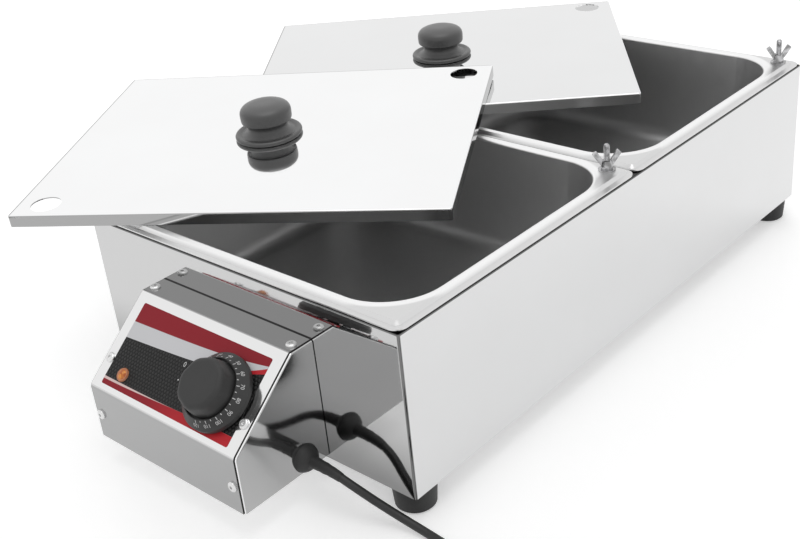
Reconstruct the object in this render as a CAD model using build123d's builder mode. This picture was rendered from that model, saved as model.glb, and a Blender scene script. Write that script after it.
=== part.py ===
"""Twin-pan food melter: a folded steel housing on four feet, with two drawn pans, two loose
lids, a slanted control box with a dial thermostat and a pilot lamp, and a mains lead.

Millimetres. X runs across the body (+X right), Y along it (+Y away from the control box) and
Z up. The origin is on the table top, midway between the four feet.
"""
import os
from math import atan2, ceil, copysign, cos, degrees, hypot, pi, radians, sin, sqrt, tan

from build123d import *

os.makedirs("parts", exist_ok=True)

# Housing
body_width = 335.0
body_length = 573.5
body_height = 135.0
sheet = 1.0
corner_bend = 2.0
top_flange = 12.0
bottom_flange = 24.0
notch = 9.0
foot_height = 20.0
foot_top_radius = 17.0
foot_bottom_radius = 15.5
foot_inset = 17.5
foot_recess_radius = 6.5
foot_recess_depth = 11.0
wire_hole_radius = 12.0
wire_hole_height = 44.0

# Pans and what holds them
pan_gap = 0.5
rim_inset = 0.3
rim_corner = 9.5
rim_border_side = 13.45
rim_border_end = 13.95
rim_border_middle = 11.25
ledge_width = 5.0
ledge_width_middle = 2.5
ledge_rise = 2.5
well_corner = 45.0
well_depth = 100.0
well_draft = 3.0
well_floor_bend = 14.0
well_lip_bend = 2.4
lip_land = 2.5
gasket_thickness = 1.0
gasket_inset = 0.6
gasket_width = 6.0
bar_width = 16.0
bar_depth = 16.0
bar_sheet = 1.5
bar_notch = 6.5
stud_radius = 2.5
front_stud_inset_x = 20.5
front_stud_back = 12.4
rear_stud_inset_x = 15.5
rear_stud_back = 15.75
stud_rise = 22.0
stud_plate_thickness = 2.0
stud_plate_reach = 9.0
stud_plate_gap = 0.5
stud_head_height = 3.5
stud_head_radius = 4.0
spacer_radius = 5.0
washer_radius = 7.0
washer_thickness = 1.2
spring_washer_radius = 4.6
nut_base_radius = 4.9
nut_top_radius = 3.9
nut_height = 5.6
wing_reach = 11.7
wing_rise = 14.2
wing_slab = 4.2
wing_lean = 38.0
wing_thickness = 2.6
wing_heading = 45.0

# Lids
lid_length = 360.4
lid_depth = 286.9
lid_skirt = 10.0
lid_sheet = 1.0
lid_corner = 2.5
lid_fold = 1.2
lid_hole_radius = 12.6
lid_hole_x = 155.0
lid_hole_y = 124.0
lid_slit_length = 10.0
lid_slit_width = 0.5
lid_seat_gap = 0.3
rear_lid_x = -134.4
rear_lid_y = 121.7
rear_lid_heading = 38.6
front_lid_x = -126.0
front_lid_y = -122.3
front_lid_heading = 31.5
knob_flange_radius = 29.2
knob_head_radius = 22.3
knob_neck_radius = 17.0
knob_height = 30.5
knob_screw_radius = 2.5

# Control box
box_width = 166.6
box_bottom = 24.0
box_knee = 71.5
box_top = 123.5
box_depth = 84.0
box_top_depth = 21.5
box_bend = 3.0
knee_bend = 6.0
box_flange = 12.0
cover_inset = 1.6
tray_bend = 1.2
cover_screw_radius = 1.7
cover_head_radius = 4.1
cover_head_height = 2.0
cover_screw_length = 7.0
screw_inset = 7.4
screw_top_depth = 13.5
screw_slope = 24.7
screw_front_height = 46.0
box_mount_inset = 14.0
box_mount_rise = 16.0
box_mount_drop = 15.5

# Control panel, measured on the slanted face from its lower edge
label_width = 143.0
label_bottom = 5.0
label_top = 73.0
label_thickness = 0.4
dial_u = 43.0
dial_v = 35.5
lamp_u = -54.2
lamp_v = 17.0
lamp_radius = 5.6
lamp_bezel = 1.2
lamp_body_length = 24.0
dial_skirt_radius = 29.4
dial_skirt_height = 10.5
dial_edge = 3.8
dial_scale_land = 0.6
dial_lift = 1.6
dial_wall = 1.6
dial_cap_radius = 21.2
dial_cap_height = 25.0
dial_cap_facets = 8
dial_cap_corner = 14.0
dial_cap_bend = 4.0
dial_cap_taper = 8.0
dial_groove = 1.6
dial_groove_depth = 3.0
shaft_radius = 3.0
shaft_gap = 0.1
bush_radius = 5.0
thermostat_width = 36.0
thermostat_height = 34.0
thermostat_depth = 24.0
thermostat_screw_pitch = 28.0
thermostat_screw_length = 6.0

# Mains lead
cord_radius = 3.2
cord_exit_depth = 23.0
cord_exit_height = 35.0
grommet_radius = 11.2
grommet_dome = 8.0
grommet_neck = 7.0
coil_radius = 45.5
coil_pitch = 7.1
coil_turns_per_layer = 2.75
coil_dip = 1.8
coil_heading = -12.0
coil_start_x = 266.0
coil_start_y = -307.0
tail_length = 50.0
floor_gap = 0.1
plug_radius = 18.0
plug_grip_radius = 11.0
plug_relief_length = 26.0
plug_length = 34.0
plug_pin_radius = 2.4
plug_pin_length = 19.0
plug_pin_pitch = 19.0

# Heating
heater_radius = 3.25
heater_clear = 11.25
heater_bend = 22.0
heater_reach_x = 110.0
heater_reach_y = 85.0
heater_gap = 40.0
bulb_radius = 3.0
bulb_length = 80.0
bulb_offset = 40.0
bulb_clip_reach = 22.0
capillary_radius = 1.0
capillary_straight = 24.0
capillary_past = 12.0
capillary_dip_x = 10.0
capillary_dip_y = 22.0
capillary_hole_x = 4.0
capillary_box_y = 14.0
capillary_rise = 2.0
capillary_back = 22.0
capillary_bend = 7.0

# Levels and faces that the pieces share
body_bottom = foot_height
body_top = body_bottom + body_height
inner_x = body_width / 2 - sheet
inner_y = body_length / 2 - sheet
front_y = -body_length / 2
rim_width = body_width - 2 * rim_inset
rim_depth = (body_length - 2 * rim_inset - pan_gap) / 2
rim_shift = (rim_border_end - rim_border_middle) / 2
pan_pitch = rim_depth + pan_gap - 2 * rim_shift
pan_ys = [-pan_pitch / 2, pan_pitch / 2]
ledge_under = body_top + gasket_thickness
rim_top = ledge_under + sheet + ledge_rise
well_under = rim_top - well_depth - sheet
heater_height = well_under - heater_clear - heater_radius
well_half_x = rim_width / 2 - rim_border_side
well_half_y = (rim_depth - rim_border_end - rim_border_middle) / 2
stud_points = [(body_width / 2 - front_stud_inset_x, -front_stud_back),
               (body_width / 2 - rear_stud_inset_x, body_length / 2 - rear_stud_back)]
foot_x = body_width / 2 - foot_inset
foot_y = body_length / 2 - foot_inset
foot_points = [(-foot_x, -foot_y), (foot_x, -foot_y), (-foot_x, foot_y), (foot_x, foot_y)]
foot_names = ["front_left", "front_right", "rear_left", "rear_right"]


def save(part, node):
    """Label one finished piece and write its STEP file."""
    part.label = node
    export_step(part, f"parts/{node}.step")


def rounded(width, depth, radius, height):
    """A rounded rectangle on the level of the given height."""
    with BuildSketch(Plane.XY.offset(height)) as outline:
        RectangleRounded(width, depth, radius)
    return outline.sketch


def pan_outline(inset, middle_inset, level, y):
    """One pan's rim outline, drawn in by inset, and by middle_inset where the pans meet."""
    outward = copysign(1, y)
    with BuildSketch(Plane.XY.offset(level)) as outline:
        with Locations((0, y + outward * (rim_shift + (middle_inset - inset) / 2))):
            RectangleRounded(rim_width - 2 * inset, rim_depth - inset - middle_inset,
                             rim_corner - inset)
    return outline.sketch


def well_outline(wall, level, y):
    """The well's mouth, grown by one wall thickness, at one pan's place."""
    with BuildSketch(Plane.XY.offset(level)) as outline:
        with Locations((0, y)):
            width = 2 * (well_half_x + wall)
            depth = 2 * (well_half_y + wall)
            RectangleRounded(width, depth, well_corner + wall)
    return outline.sketch


# Housing shell: one folded wrap with turned-in flanges, open above the wells and below
base_screw_points = [(sx * (inner_x - bottom_flange / 2), sy * body_length / 5)
                     for sx in (-1, 1) for sy in (-1, 1)]
box_mount_heights = (box_bottom + box_mount_rise, box_top - box_mount_drop)
box_mount_points = [(sx * (box_width / 2 - box_mount_inset), z)
                    for sx in (-1, 1) for z in box_mount_heights]
box_mount_hole = 2.1

with BuildPart() as housing_shell:
    extrude(rounded(body_width, body_length, corner_bend, body_bottom), amount=body_height)
    top_rim = housing_shell.faces().sort_by(Axis.Z)[-1].edges()
    fillet(top_rim, radius=corner_bend - sheet / 2)
    hollow = rounded(2 * inner_x, 2 * inner_y, corner_bend - sheet, body_bottom + sheet)
    extrude(hollow, amount=body_height - 2 * sheet, mode=Mode.SUBTRACT)
    with BuildSketch(Plane.XY.offset(body_top - sheet)):
        Rectangle(body_width - 2 * top_flange, body_length - 2 * top_flange)
        notch_x = inner_x - notch / 2
        notch_y = inner_y - notch / 2
        with GridLocations(2 * notch_x, 2 * notch_y, 2, 2):
            Rectangle(notch, notch)
        with Locations(*stud_points):
            Circle(spacer_radius + 0.4)
    extrude(amount=sheet, mode=Mode.SUBTRACT)
    with BuildSketch(Plane.XY.offset(body_bottom)):
        Rectangle(body_width - 2 * bottom_flange, body_length - 2 * bottom_flange)
        with Locations(*foot_points, *base_screw_points):
            Circle(box_mount_hole)
    extrude(amount=sheet, mode=Mode.SUBTRACT)
    with BuildSketch(Plane.XZ.offset(-front_y)):
        with Locations((0, wire_hole_height)):
            Circle(wire_hole_radius)
        with Locations(*box_mount_points):
            Circle(box_mount_hole)
    extrude(amount=-sheet, mode=Mode.SUBTRACT)
save(housing_shell.part, "housing_shell")

# Base plate: a flat sheet on the bottom flange, with rows of vent slots
base_edge = 0.5
vent_length = 46.0
vent_width = 4.0
vent_pitch_x = 84.0
vent_pitch_y = 14.0
base_top = body_bottom + 2 * sheet
with BuildPart() as base_plate:
    base_level = body_bottom + sheet
    extrude(rounded(2 * (inner_x - base_edge), 2 * (inner_y - base_edge), corner_bend, base_level),
            amount=sheet)
    with BuildSketch(Plane.XY.offset(base_level)):
        for y in pan_ys:
            with Locations((0, y)):
                with GridLocations(vent_pitch_x, vent_pitch_y, 3, 4):
                    SlotOverall(vent_length, vent_width)
        with Locations(*foot_points, *base_screw_points):
            Circle(box_mount_hole)
    extrude(amount=sheet, mode=Mode.SUBTRACT)
save(base_plate.part, "base_plate")

# Cross bar: a channel under the joint between the pans, its web level with the side flanges,
# its legs between the walls, and bitten out round the clamp studs
bar_web_length = body_width - 2 * top_flange
plate_top = body_top - sheet
stud_head_top = plate_top - stud_plate_thickness
with BuildPart() as cross_bar:
    with BuildSketch(Plane.XY.offset(body_top - bar_sheet)):
        Rectangle(bar_web_length, bar_width)
    extrude(amount=bar_sheet)
    with BuildSketch(Plane.XY.offset(body_top - bar_depth)):
        with GridLocations(0, bar_width - bar_sheet, 1, 2):
            Rectangle(2 * inner_x, bar_sheet)
    extrude(amount=bar_depth - sheet)
    with BuildSketch(Plane.XY.offset(stud_head_top - stud_head_height - 1)):
        stud_x, stud_y = stud_points[0]
        with GridLocations(2 * stud_x, 2 * abs(stud_y), 2, 2):
            Circle(bar_notch)
    extrude(amount=bar_depth, mode=Mode.SUBTRACT)
save(cross_bar.part, "cross_bar")

# Stud plates: small plates under the flange that carry the clamp studs
with BuildPart() as stud_plates:
    with BuildSketch(Plane.XY.offset(stud_head_top)):
        for x, y in stud_points:
            far = min(y + stud_plate_reach, -bar_width / 2) if y < 0 else y + stud_plate_reach
            near = y - stud_plate_reach
            left, right = x - stud_plate_reach, inner_x - stud_plate_gap
            with Locations(((left + right) / 2, (far + near) / 2)):
                Rectangle(right - left, far - near)
        with Locations(*stud_points):
            Circle(stud_radius, mode=Mode.SUBTRACT)
    extrude(amount=stud_plate_thickness)
save(stud_plates.part, "stud_plates")

# Clamp studs: headed from below, standing through the rim, with a domed tip
stud_tip = rim_top + stud_rise
with BuildPart() as clamp_studs:
    with BuildSketch(Plane.XY.offset(stud_head_top - stud_head_height)):
        with Locations(*stud_points):
            RegularPolygon(stud_head_radius, 6, major_radius=False)
    extrude(amount=stud_head_height)
    with BuildSketch(Plane.XY.offset(stud_head_top)):
        with Locations(*stud_points):
            Circle(stud_radius)
    extrude(amount=stud_tip - stud_head_top)
    tips = clamp_studs.edges().filter_by(GeomType.CIRCLE).group_by(Axis.Z)[-1]
    fillet(tips, radius=stud_radius * 0.8)
save(clamp_studs.part, "clamp_studs")


def ring_pair(node, outer, bottom, top):
    """Two like rings round the studs, written as one node."""
    with BuildPart() as rings:
        with BuildSketch(Plane.XY.offset(bottom)):
            with Locations(*stud_points):
                Circle(outer)
                Circle(stud_clear, mode=Mode.SUBTRACT)
        extrude(amount=top - bottom)
    save(rings.part, node)


stud_clear = stud_radius + 0.15
under_plateau = rim_top - sheet
washer_top = rim_top + washer_thickness
spring_top = washer_top + washer_thickness
ring_pair("rim_spacers", spacer_radius, plate_top, under_plateau)
ring_pair("clamp_washers", washer_radius, rim_top, washer_top)
ring_pair("spring_washers", spring_washer_radius, washer_top, spring_top)

# Pans: deep-drawn wells with a stepped rim, a low ledge outside and a raised land inside,
# joined by a slope of 45 degrees
slope_foot = ledge_width - sheet
slope_foot_middle = ledge_width_middle - sheet
slope_wall = sheet * sqrt(2)
slope_angle = 45
pan_names = ["front_pan", "rear_pan"]
gasket_names = ["front_gasket", "rear_gasket"]
for pan_name, gasket_name, pan_y, stud_point in zip(pan_names, gasket_names, pan_ys,
                                                    stud_points):
    with BuildPart() as pan:
        extrude(pan_outline(0, 0, ledge_under, pan_y), amount=sheet)
        extrude(pan_outline(slope_foot, slope_foot_middle, ledge_under, pan_y),
                amount=rim_top - ledge_under, taper=slope_angle)
        extrude(pan_outline(slope_foot + slope_wall, slope_foot_middle + slope_wall,
                            ledge_under, pan_y),
                amount=ledge_rise, taper=slope_angle, mode=Mode.SUBTRACT)
        extrude(well_outline(sheet + lip_land, ledge_under, pan_y), amount=rim_top - ledge_under)
        extrude(well_outline(sheet, rim_top, pan_y), amount=-well_depth - sheet, taper=well_draft)
        fillet(pan.faces().sort_by(Axis.Z)[0].edges(), radius=well_floor_bend + sheet)
        with BuildPart(mode=Mode.PRIVATE) as cavity:
            extrude(well_outline(0, rim_top, pan_y), amount=-well_depth, taper=well_draft)
            fillet(cavity.faces().sort_by(Axis.Z)[0].edges(), radius=well_floor_bend)
        add(cavity.part, mode=Mode.SUBTRACT)
        lip = pan.edges().filter_by_position(Axis.Z, rim_top - 0.01, rim_top + 0.01)
        lip = [e for e in lip if abs(e.center().X) < well_half_x + 0.5
               and abs(e.center().Y - pan_y) < well_half_y + 0.5]
        fillet(lip, radius=well_lip_bend)
        with BuildSketch(Plane.XY.offset(under_plateau)):
            with Locations(stud_point):
                Circle(stud_radius + 0.3)
        extrude(amount=sheet, mode=Mode.SUBTRACT)
    save(pan.part, pan_name)

    with BuildPart() as gasket:
        gasket_inner = gasket_inset + gasket_width
        extrude(pan_outline(gasket_inset, gasket_inset, body_top, pan_y),
                amount=gasket_thickness)
        extrude(pan_outline(gasket_inner, gasket_inner, body_top, pan_y),
                amount=gasket_thickness, mode=Mode.SUBTRACT)
        with BuildSketch(Plane.XY.offset(body_top)):
            with Locations(stud_point):
                Circle(spacer_radius + 0.4)
        extrude(amount=gasket_thickness, mode=Mode.SUBTRACT)
    save(gasket.part, gasket_name)

# Wing nuts: a drilled cone with two leaning wings, running free on each stud
nut_seat = spring_top + 0.15
nut_bore = stud_radius + 0.1
nut_edge = 1.0
wing_root = 2.8
wing_foot = 0.8
wing_bite = 0.3
wing_tip_bend = 0.8
lean = radians(wing_lean)
for nut_name, (nut_x, nut_y) in zip(["front_wing_nut", "rear_wing_nut"], stud_points):
    wing_side = Plane((nut_x, nut_y, nut_seat),
                      x_dir=(cos(radians(wing_heading)), sin(radians(wing_heading)), 0),
                      z_dir=(sin(radians(wing_heading)), -cos(radians(wing_heading)), 0))
    with BuildPart() as wing_nut:
        with BuildSketch(wing_side):
            Polygon((0, 0), (nut_base_radius, 0), (nut_base_radius, nut_edge),
                    (nut_top_radius, nut_height), (0, nut_height), align=None)
        revolve(axis=Axis((nut_x, nut_y, nut_seat), (0, 0, 1)))
        with BuildSketch(wing_side) as wings:
            with BuildLine():
                tip_out = (wing_reach, wing_rise - wing_slab * sin(lean))
                tip_in = (wing_reach - wing_slab * cos(lean), wing_rise)
                root_in = (wing_root, nut_height - wing_bite)
                root_out = (nut_base_radius - wing_bite, nut_edge + wing_bite)
                root_low = (wing_root, wing_foot)
                Polyline(root_low, root_out, tip_out, tip_in, root_in, root_low)
            make_face()
            tips = [v for v in wings.vertices() if v.Y > nut_height + nut_edge]
            fillet(tips, radius=wing_tip_bend)
            mirror(about=Plane.YZ)
        extrude(amount=wing_thickness / 2, both=True)
        with BuildSketch(Plane.XY.offset(nut_seat)):
            with Locations((nut_x, nut_y)):
                Circle(nut_bore)
        extrude(amount=wing_rise + 2, mode=Mode.SUBTRACT)
    save(wing_nut.part, nut_name)

# Lids: folded trays lying open as a cook leaves them. The rear lid lies flat across the rims.
# The front lid leans on three points: its near skirt on the front rim, and its right and far
# skirts on the near and left edges of the rear lid
rear_lid_top = rim_top + lid_seat_gap + lid_skirt


def lid_ways(heading):
    """The ways along and across a lid, in plan."""
    turn = radians(heading)
    return Vector(cos(turn), sin(turn), 0), Vector(-sin(turn), cos(turn), 0)


def crossing(point, way, other, other_way):
    """Where two lines cross in plan."""
    apart = other - point
    turn = way.X * other_way.Y - way.Y * other_way.X
    return point + way * ((apart.X * other_way.Y - apart.Y * other_way.X) / turn)


rear_along, rear_across = lid_ways(rear_lid_heading)
front_along, front_across = lid_ways(front_lid_heading)
rear_middle = Vector(rear_lid_x, rear_lid_y, 0)
front_middle = Vector(front_lid_x, front_lid_y, 0)
rim_edge = Vector(0, rim_inset + ledge_width + ledge_rise - body_length / 2, 0)
rim_seat = Vector(0, 0, rim_top + lid_seat_gap)
lid_seat = Vector(0, 0, rear_lid_top + lid_seat_gap)
half_length = lid_length / 2
half_depth = lid_depth / 2
near_contact = rim_seat + crossing(front_middle - front_across * half_depth, front_along,
                                   rim_edge, Vector(1, 0, 0))
right_contact = lid_seat + crossing(front_middle + front_along * half_length, front_across,
                                    rear_middle - rear_across * half_depth, rear_along)
far_contact = lid_seat + crossing(front_middle + front_across * half_depth, front_along,
                                  rear_middle - rear_along * half_length, rear_across)
front_up = (right_contact - near_contact).cross(far_contact - near_contact).normalized()
front_offset = front_middle - near_contact
front_rise = (front_up.X * front_offset.X + front_up.Y * front_offset.Y) / front_up.Z
front_seat = front_middle + Vector(0, 0, near_contact.Z - front_rise)
rear_frame = Plane(rear_middle + Vector(0, 0, rear_lid_top), x_dir=rear_along, z_dir=(0, 0, 1))
front_frame = Plane(front_seat + front_up * lid_skirt, x_dir=front_along, z_dir=front_up)
knob_screw_length = 16.0
knob_screw_head = 2.4
knob_screw_head_radius = 4.6

for which, frame in (("front", front_frame), ("rear", rear_frame)):
    with BuildPart() as lid:
        with BuildSketch(frame):
            RectangleRounded(lid_length, lid_depth, lid_corner)
        extrude(amount=-lid_skirt)
        top_edges = [e for e in lid.edges() if abs(frame.to_local_coords(e.center()).Z) < 0.01]
        fillet(top_edges, radius=lid_fold)
        with BuildSketch(frame.offset(-lid_skirt)):
            RectangleRounded(lid_length - 2 * lid_sheet, lid_depth - 2 * lid_sheet,
                             lid_corner - lid_sheet)
        extrude(amount=lid_skirt - lid_sheet, mode=Mode.SUBTRACT)
        with BuildSketch(frame):
            with Locations((-lid_hole_x, -lid_hole_y), (lid_hole_x, lid_hole_y)):
                Circle(lid_hole_radius)
            Circle(knob_screw_radius + 0.2)
        extrude(amount=-lid_sheet, mode=Mode.SUBTRACT)
        with BuildSketch(frame.offset(-lid_fold - lid_slit_width)):
            slit_pitch_x = lid_length - lid_slit_length - lid_sheet
            with GridLocations(slit_pitch_x, lid_depth - lid_sheet, 2, 2):
                Rectangle(lid_slit_length, lid_sheet + 0.2)
        extrude(amount=lid_slit_width, mode=Mode.SUBTRACT)
    save(lid.part, f"{which}_lid")

    knob_side = Plane(frame.origin, x_dir=frame.x_dir, z_dir=-frame.y_dir)
    with BuildPart() as knob:
        with BuildSketch(knob_side):
            with BuildLine():
                foot_in = (0, 0)
                foot_out = (knob_flange_radius - 2.2, 0)
                bead_out = (knob_flange_radius, 2.2)
                bead_top = (knob_flange_radius - 2.6, 4.2)
                groove = (knob_flange_radius - 6.0, 3.3)
                flare = (knob_neck_radius + 2.6, 5.2)
                neck = (knob_neck_radius, 9.2)
                under_head = (knob_head_radius - 2.2, 15.4)
                widest = (knob_head_radius, 21.0)
                shoulder = (knob_head_radius * 0.72, knob_height - 1.8)
                crown = (0, knob_height)
                Line(foot_in, foot_out)
                TangentArc(foot_out, bead_out, tangent=(1, 0))
                TangentArc(bead_out, bead_top, tangent=(0, 1))
                Spline(bead_top, groove, flare, neck, under_head, widest,
                       tangents=((-1, -0.1), (0, 1)))
                Spline(widest, shoulder, crown, tangents=((0, 1), (-1, 0)))
                Line(crown, foot_in)
            make_face()
        revolve(axis=Axis(frame.origin, frame.z_dir))
        with BuildSketch(frame):
            Circle(knob_screw_radius)
        extrude(amount=knob_screw_length - lid_sheet, mode=Mode.SUBTRACT)
    save(knob.part, f"{which}_lid_knob")

    with BuildPart() as knob_screw:
        with BuildSketch(frame.offset(-lid_sheet - knob_screw_head)):
            Circle(knob_screw_head_radius)
        extrude(amount=knob_screw_head)
        with BuildSketch(frame.offset(-lid_sheet)):
            Circle(knob_screw_radius)
        extrude(amount=knob_screw_length)
    save(knob_screw.part, f"{which}_knob_screw")

# Feet: tapered rubber feet screwed up into the bottom flange
for foot_name, (x, y) in zip(foot_names, foot_points):
    with BuildPart() as foot:
        with BuildSketch(Plane.XZ.offset(-y)):
            with BuildLine():
                edge = 1.5
                Polyline((x, foot_recess_depth), (x, foot_height),
                         (x + foot_top_radius, foot_height), (x + foot_bottom_radius, edge),
                         (x + foot_bottom_radius - edge, 0), (x + foot_recess_radius, 0),
                         (x + foot_recess_radius, foot_recess_depth), (x, foot_recess_depth))
            make_face()
        revolve(axis=Axis((x, y, 0), (0, 0, 1)))
        with BuildSketch(Plane.XY.offset(foot_recess_depth)):
            with Locations((x, y)):
                Circle(box_mount_hole)
        extrude(amount=foot_height - foot_recess_depth, mode=Mode.SUBTRACT)
    save(foot.part, f"{foot_name}_foot")


def pan_head_screws(node, frames, shank, head_radius, head_height, length):
    """Round-headed fasteners, one in each frame: the head stands on it, the shank goes in."""
    socket = head_radius * 0.3
    socket_floor = head_height * 0.45
    with BuildPart() as screws:
        for seat in frames:
            with BuildSketch(Plane(seat.origin, x_dir=seat.x_dir, z_dir=-seat.y_dir)):
                with BuildLine():
                    side_top = (head_radius, head_height * 0.4)
                    crown = (head_radius * 0.5, head_height)
                    Polyline(crown, (socket, head_height), (socket, socket_floor),
                             (0, socket_floor), (0, -length), (shank, -length), (shank, 0),
                             (head_radius, 0), side_top)
                    ThreePointArc(side_top, (head_radius * 0.86, head_height * 0.84), crown)
                make_face()
            revolve(axis=Axis(seat.origin, seat.z_dir))
    save(screws.part, node)


def facing(point, outward, along=(1, 0, 0)):
    """A plane at a point with its Z along the given outward direction."""
    return Plane(point, x_dir=along, z_dir=outward)


fastener_radius = 2.0
fastener_head = 3.6
fastener_head_height = 2.2
foot_screw_head = 4.0
foot_screw_head_height = 2.6
foot_screw_over = 4.0
base_screw_length = 6.0
box_mount_length = 8.0
thermostat_head_height = 2.0
foot_screw_frames = [facing((x, y, foot_recess_depth), (0, 0, -1)) for x, y in foot_points]
pan_head_screws("foot_screws", foot_screw_frames, fastener_radius, foot_screw_head,
                foot_screw_head_height, base_top - foot_recess_depth + foot_screw_over)
base_screw_frames = [facing((x, y, body_bottom), (0, 0, -1)) for x, y in base_screw_points]
pan_head_screws("base_screws", base_screw_frames, fastener_radius, fastener_head,
                fastener_head_height, base_screw_length)

# Control box: a bent side-and-bottom tray, and a cover wrapped over its top, slope and front
slope = atan2(box_top - box_knee, box_depth - box_top_depth)
slope_length = hypot(box_top - box_knee, box_depth - box_top_depth)
slope_out = (0, -sin(slope), cos(slope))
slope_up = (0, cos(slope), sin(slope))


def box_corners(inset):
    """The box's side outline from the housing down to its lower front, drawn in by inset."""
    y_low = front_y - box_depth + inset
    y_high = front_y - box_depth + (box_top - inset - box_knee + inset / cos(slope)) / tan(slope)
    z_low = box_knee + inset * tan(slope) - inset / cos(slope)
    return [(front_y, box_top - inset), (y_high, box_top - inset), (y_low, z_low),
            (y_low, box_bottom)]


def box_side(inset, bottom):
    """The closed side outline on the YZ plane, with its rounded folds."""
    corners = box_corners(inset)
    with BuildSketch(Plane.YZ) as side:
        with BuildLine():
            start, fold, knee, end = corners
            end = (end[0], bottom)
            FilletPolyline(start, fold, knee, end, radius=[box_bend - inset, knee_bend - inset])
            Line(end, (front_y, bottom))
            Line((front_y, bottom), start)
        make_face()
    return side.sketch


def on_slope(u, v, lift=0.0):
    """A point of the slanted face, u across and v up from its lower edge, raised by lift."""
    base_y = front_y - box_depth + v * cos(slope)
    base_z = box_knee + v * sin(slope)
    return (u, base_y - lift * sin(slope), base_z + lift * cos(slope))


def slope_frame(u, v, lift=0.0):
    """A plane on the slanted face, Z out of it."""
    return Plane(on_slope(u, v, lift), x_dir=(1, 0, 0), z_dir=slope_out)


screw_x = box_width / 2 - screw_inset
screw_frames = []
for x in (-screw_x, screw_x):
    screw_frames.append(facing((x, front_y - screw_top_depth, box_top), (0, 0, 1)))
    screw_frames.append(slope_frame(x, screw_slope))
    screw_frames.append(facing((x, front_y - box_depth, screw_front_height), (0, -1, 0)))
thermostat_screw_us = (dial_u - thermostat_screw_pitch / 2, dial_u + thermostat_screw_pitch / 2)

with BuildPart() as control_cover:
    extrude(box_side(0, box_bottom), amount=box_width / 2 - cover_inset, both=True)
    extrude(box_side(sheet, box_bottom), amount=box_width / 2, both=True, mode=Mode.SUBTRACT)
    for frame in screw_frames:
        with BuildSketch(frame):
            Circle(cover_screw_radius)
        extrude(amount=-2 * sheet, mode=Mode.SUBTRACT)
    with BuildSketch(slope_frame(0, 0)):
        with Locations((dial_u, dial_v)):
            Circle(bush_radius + 0.3)
        with Locations((lamp_u, lamp_v)):
            Circle(lamp_radius - lamp_bezel + 0.1)
        with Locations(*[(u, dial_v) for u in thermostat_screw_us]):
            Circle(fastener_radius + 0.1)
    extrude(amount=-2 * sheet, mode=Mode.SUBTRACT)
save(control_cover.part, "control_cover")

side_outer = box_width / 2
with BuildPart() as control_tray:
    extrude(box_side(sheet, box_bottom), amount=side_outer, both=True)
    by_x = control_tray.faces().sort_by(Axis.X)
    side_folds = [e for e in by_x[0].edges() + by_x[-1].edges()
                  if e.center().Y < front_y - 0.1 and e.center().Z > box_bottom + 0.1]
    fillet(side_folds, radius=tray_bend)
    extrude(box_side(2 * sheet, box_bottom + sheet), amount=side_outer - sheet, both=True,
            mode=Mode.SUBTRACT)
    window = side_outer - box_flange
    with BuildSketch(Plane.YZ):
        with BuildLine():
            y_in = front_y - box_depth - 1
            Polyline((front_y, box_bottom + sheet), (front_y, box_top + 1), (y_in, box_top + 1),
                     (y_in, box_bottom + sheet), (front_y, box_bottom + sheet))
        make_face()
    extrude(amount=window, both=True, mode=Mode.SUBTRACT)
    with BuildSketch(Plane.XZ.offset(-front_y)):
        with GridLocations(2 * (side_outer - sheet - box_flange / 2), 0, 2, 1):
            with Locations((0, (box_bottom + box_top) / 2)):
                Rectangle(box_flange, box_top - box_bottom - 4 * sheet)
        with Locations(*box_mount_points):
            Circle(box_mount_hole, mode=Mode.SUBTRACT)
    extrude(amount=sheet)
    for frame in screw_frames:
        with BuildSketch(frame):
            Circle(cover_screw_radius)
        extrude(amount=-3 * sheet, mode=Mode.SUBTRACT)
    exit_point = (side_outer, front_y - cord_exit_depth, cord_exit_height)
    with BuildSketch(facing(exit_point, (1, 0, 0), (0, 1, 0))):
        Circle(grommet_neck)
    extrude(amount=-2 * sheet, mode=Mode.SUBTRACT)
save(control_tray.part, "control_tray")

pan_head_screws("cover_screws", screw_frames, cover_screw_radius, cover_head_radius,
                cover_head_height, cover_screw_length)
mount_frames = [facing((x, front_y - sheet, z), (0, -1, 0)) for x, z in box_mount_points]
pan_head_screws("box_mount_screws", mount_frames, fastener_radius, fastener_head,
                fastener_head_height, box_mount_length)

# Control panel overlay: a thin plate stuck on the slope, bare of print
with BuildPart() as panel_overlay:
    middle_v = (label_bottom + label_top) / 2
    with BuildSketch(slope_frame(0, middle_v)):
        RectangleRounded(label_width, label_top - label_bottom, 1.5)
        with Locations((dial_u, dial_v - middle_v)):
            Circle(bush_radius + 0.3, mode=Mode.SUBTRACT)
        with Locations((lamp_u, lamp_v - middle_v)):
            Circle(lamp_radius - lamp_bezel + 0.1, mode=Mode.SUBTRACT)
        with Locations(*[(u, dial_v - middle_v) for u in thermostat_screw_us]):
            Circle(fastener_radius + 0.1, mode=Mode.SUBTRACT)
    extrude(amount=label_thickness)
save(panel_overlay.part, "panel_overlay")

# Thermostat: a body behind the slope, its neck through the cover, two screws from the front
dial_axis = Axis(on_slope(dial_u, dial_v), slope_out)
bush_reach = label_thickness + 3.0
with BuildPart() as thermostat_body:
    with BuildSketch(slope_frame(dial_u, dial_v, -sheet)):
        RectangleRounded(thermostat_width, thermostat_height, 4.0)
    extrude(amount=-thermostat_depth)
    with BuildSketch(slope_frame(dial_u, dial_v, -sheet)):
        Circle(bush_radius)
    extrude(amount=sheet + bush_reach)
    with BuildSketch(slope_frame(dial_u, dial_v, -thermostat_depth / 2)):
        Circle(shaft_radius + shaft_gap)
    extrude(amount=thermostat_depth, mode=Mode.SUBTRACT)
    for u in thermostat_screw_us:
        with BuildSketch(slope_frame(u, dial_v, -sheet)):
            Circle(fastener_radius)
        extrude(amount=-thermostat_screw_length - 2 * sheet, mode=Mode.SUBTRACT)
save(thermostat_body.part, "thermostat_body")
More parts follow.
